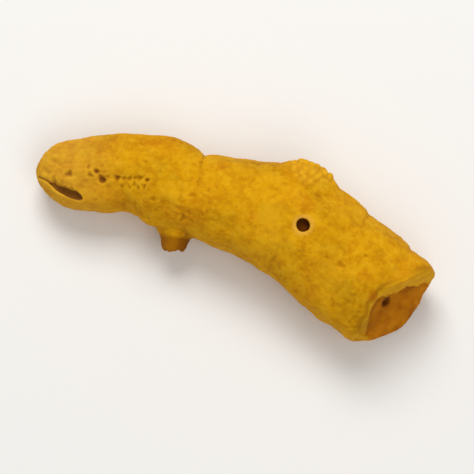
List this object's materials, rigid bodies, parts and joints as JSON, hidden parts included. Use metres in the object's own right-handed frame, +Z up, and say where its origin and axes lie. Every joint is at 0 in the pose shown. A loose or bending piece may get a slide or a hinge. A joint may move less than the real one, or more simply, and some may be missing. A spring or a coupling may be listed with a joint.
{
  "type": "turmeric root",
  "caption": "Dried turmeric finger: bent, tapering root with a rounded tip, faint leaf-scar rings, a side stub, a branch scar, a beetle hole and a broken end.",
  "frame": {"origin": "on the table, under the middle of the root's box", "axes": "+X along the root from its rounded tip to its broken end, +Z up, the branch scar on the +Y side"},
  "size_m": [0.0512, 0.0191, 0.013],
  "materials": {
    "rind": "matt, powdery dried turmeric rind"
  },
  "bodies": {
    "root": {"turmeric_root": "rind"}
  },
  "joints": []
}
